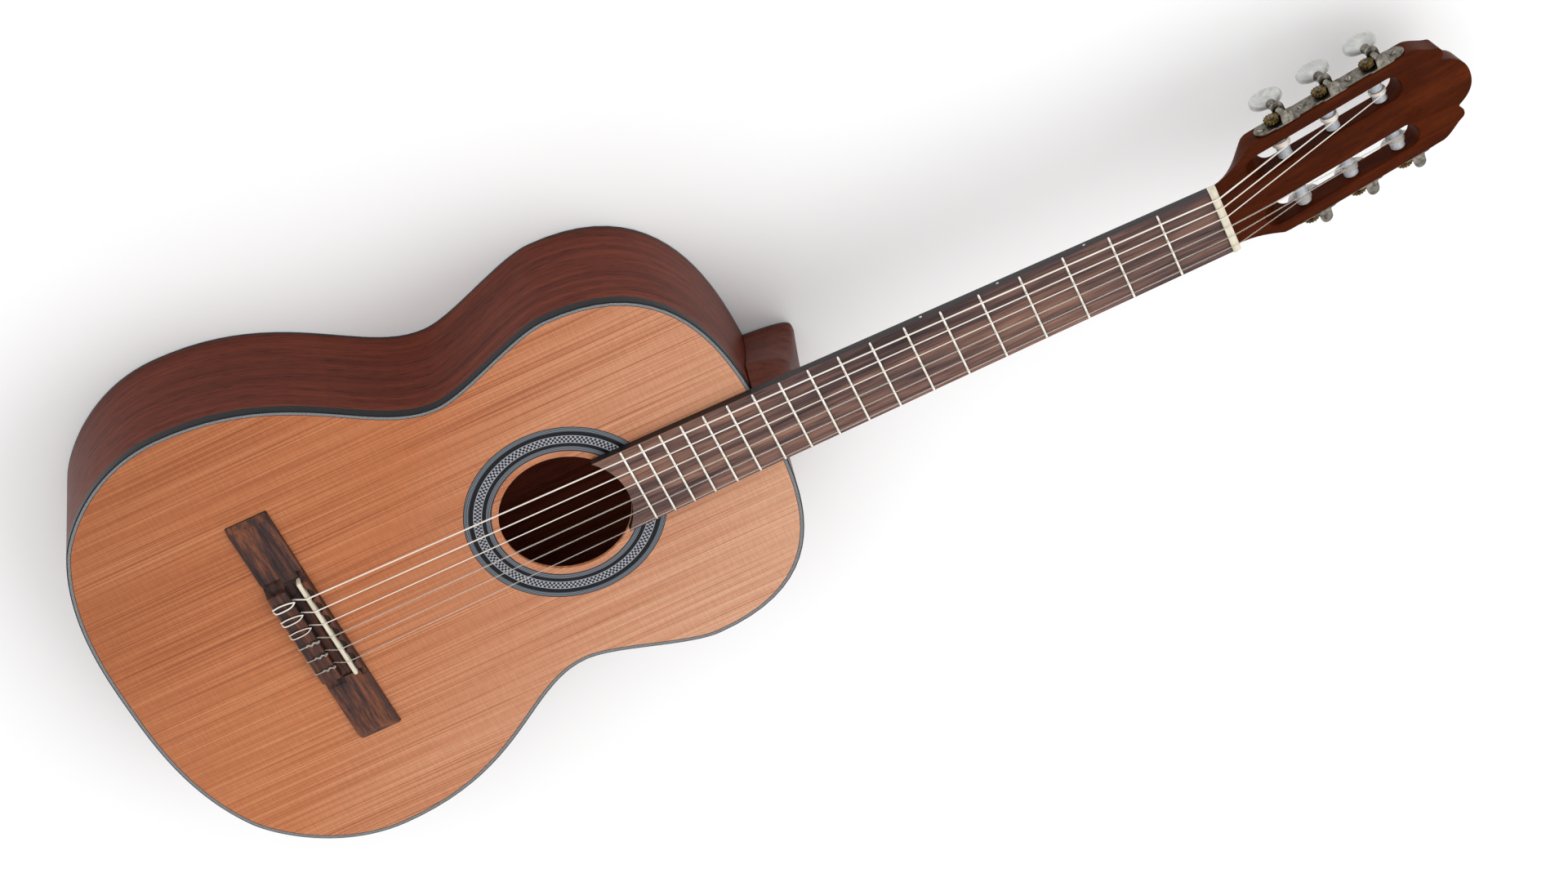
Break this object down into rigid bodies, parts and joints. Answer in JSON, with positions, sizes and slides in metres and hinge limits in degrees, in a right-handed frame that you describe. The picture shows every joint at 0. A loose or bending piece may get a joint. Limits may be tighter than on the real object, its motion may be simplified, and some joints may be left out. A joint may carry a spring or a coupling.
{
  "type": "classical guitar",
  "caption": "Classical guitar with a waisted hollow body, round soundhole, tie bridge, fretted neck and slotted headstock with geared tuning machines",
  "frame": {"origin": "Under the middle of the whole length, on the centre line, at the underside of the back plate that the guitar lies on", "axes": "+Y points from the tail to the head, +X to the treble side, +Z out of the soundboard"},
  "size_m": [0.363, 0.9902, 0.1118],
  "materials": {
    "cedar": "satin varnish over fine straight grain",
    "mahogany": "satin varnish, open pores along the length",
    "head_mahogany": "satin varnish, reddish",
    "rosewood": "oiled, dark streaks",
    "spruce": "bare, sanded",
    "binding": "polished black",
    "rosette_mosaic": "ring of fine inlaid lines and mosaic",
    "bone": "polished bone",
    "nickel": "aged nickel plate",
    "gear_brass": "dull brass",
    "roller_white": "pale grey moulding",
    "pearl": "pearly white",
    "wound_string": "fine silver winding",
    "nylon": "translucent"
  },
  "bodies": {
    "root": {"soundboard": "cedar", "rosette": "rosette_mosaic", "back_plate": "mahogany", "binding_top": "binding", "binding_back": "binding", "side_bass": "mahogany", "side_treble": "mahogany", "neck_block": "mahogany", "tail_block": "mahogany", "neck": "mahogany", "heel": "mahogany", "heel_cap": "head_mahogany", "fingerboard": "rosewood", "nut": "bone", "headstock": "head_mahogany", "tuner_plate_bass": "nickel", "tuner_plate_treble": "nickel", "bridge": "rosewood", "saddle": "bone", "lining_top_bass": "spruce", "lining_back_bass": "spruce", "lining_top_treble": "spruce", "lining_back_treble": "spruce", "upper_bar": "spruce", "lower_bar": "spruce", "fan_brace_bass": "spruce", "fan_brace_centre": "spruce", "fan_brace_treble": "spruce", "back_brace_upper": "spruce", "back_brace_lower": "spruce", "string_1": "nylon", "string_2": "nylon", "string_3": "nylon", "string_4": "wound_string", "string_5": "wound_string", "string_6": "wound_string"},
    "post_1": {"roller_1": "roller_white", "gear_1": "gear_brass"},
    "key_1": {"worm_shaft_1": "nickel", "button_1": "pearl"},
    "post_2": {"roller_2": "roller_white", "gear_2": "gear_brass"},
    "key_2": {"worm_shaft_2": "nickel", "button_2": "pearl"},
    "post_3": {"roller_3": "roller_white", "gear_3": "gear_brass"},
    "key_3": {"worm_shaft_3": "nickel", "button_3": "pearl"},
    "post_4": {"roller_4": "roller_white", "gear_4": "gear_brass"},
    "key_4": {"worm_shaft_4": "nickel", "button_4": "pearl"},
    "post_5": {"roller_5": "roller_white", "gear_5": "gear_brass"},
    "key_5": {"worm_shaft_5": "nickel", "button_5": "pearl"},
    "post_6": {"roller_6": "roller_white", "gear_6": "gear_brass"},
    "key_6": {"worm_shaft_6": "nickel", "button_6": "pearl"}
  },
  "joints": [
    {"name": "post_turn_1", "type": "hinge", "parent": "root", "child": "post_1", "pos_m": [0.04115, 0.36246, 0.0823], "axis": [1, 0, 0], "continuous": true},
    {"name": "key_turn_1", "type": "hinge", "parent": "root", "child": "key_1", "pos_m": [0.04115, 0.36992, 0.08085], "axis": [0, 0.1908, 0.9816], "continuous": true},
    {"name": "post_turn_2", "type": "hinge", "parent": "root", "child": "post_2", "pos_m": [0.04115, 0.39799, 0.0754], "axis": [1, 0, 0], "continuous": true},
    {"name": "key_turn_2", "type": "hinge", "parent": "root", "child": "key_2", "pos_m": [0.04115, 0.40545, 0.07395], "axis": [0, 0.1908, 0.9816], "continuous": true},
    {"name": "post_turn_3", "type": "hinge", "parent": "root", "child": "post_3", "pos_m": [0.04115, 0.43353, 0.06849], "axis": [1, 0, 0], "continuous": true},
    {"name": "key_turn_3", "type": "hinge", "parent": "root", "child": "key_3", "pos_m": [0.04115, 0.44099, 0.06704], "axis": [0, 0.1908, 0.9816], "continuous": true},
    {"name": "post_turn_4", "type": "hinge", "parent": "root", "child": "post_4", "pos_m": [-0.04115, 0.43353, 0.06849], "axis": [1, 0, 0], "continuous": true},
    {"name": "key_turn_4", "type": "hinge", "parent": "root", "child": "key_4", "pos_m": [-0.04115, 0.44099, 0.06704], "axis": [0, 0.1908, 0.9816], "continuous": true},
    {"name": "post_turn_5", "type": "hinge", "parent": "root", "child": "post_5", "pos_m": [-0.04115, 0.39799, 0.0754], "axis": [1, 0, 0], "continuous": true},
    {"name": "key_turn_5", "type": "hinge", "parent": "root", "child": "key_5", "pos_m": [-0.04115, 0.40545, 0.07395], "axis": [0, 0.1908, 0.9816], "continuous": true},
    {"name": "post_turn_6", "type": "hinge", "parent": "root", "child": "post_6", "pos_m": [-0.04115, 0.36246, 0.0823], "axis": [1, 0, 0], "continuous": true},
    {"name": "key_turn_6", "type": "hinge", "parent": "root", "child": "key_6", "pos_m": [-0.04115, 0.36992, 0.08085], "axis": [0, 0.1908, 0.9816], "continuous": true}
  ],
  "couplings": [
    {"joint": "post_turn_1", "follows": "key_turn_1", "ratio": -0.071429},
    {"joint": "post_turn_2", "follows": "key_turn_2", "ratio": -0.071429},
    {"joint": "post_turn_3", "follows": "key_turn_3", "ratio": -0.071429},
    {"joint": "post_turn_4", "follows": "key_turn_4", "ratio": -0.071429},
    {"joint": "post_turn_5", "follows": "key_turn_5", "ratio": -0.071429},
    {"joint": "post_turn_6", "follows": "key_turn_6", "ratio": -0.071429}
  ]
}
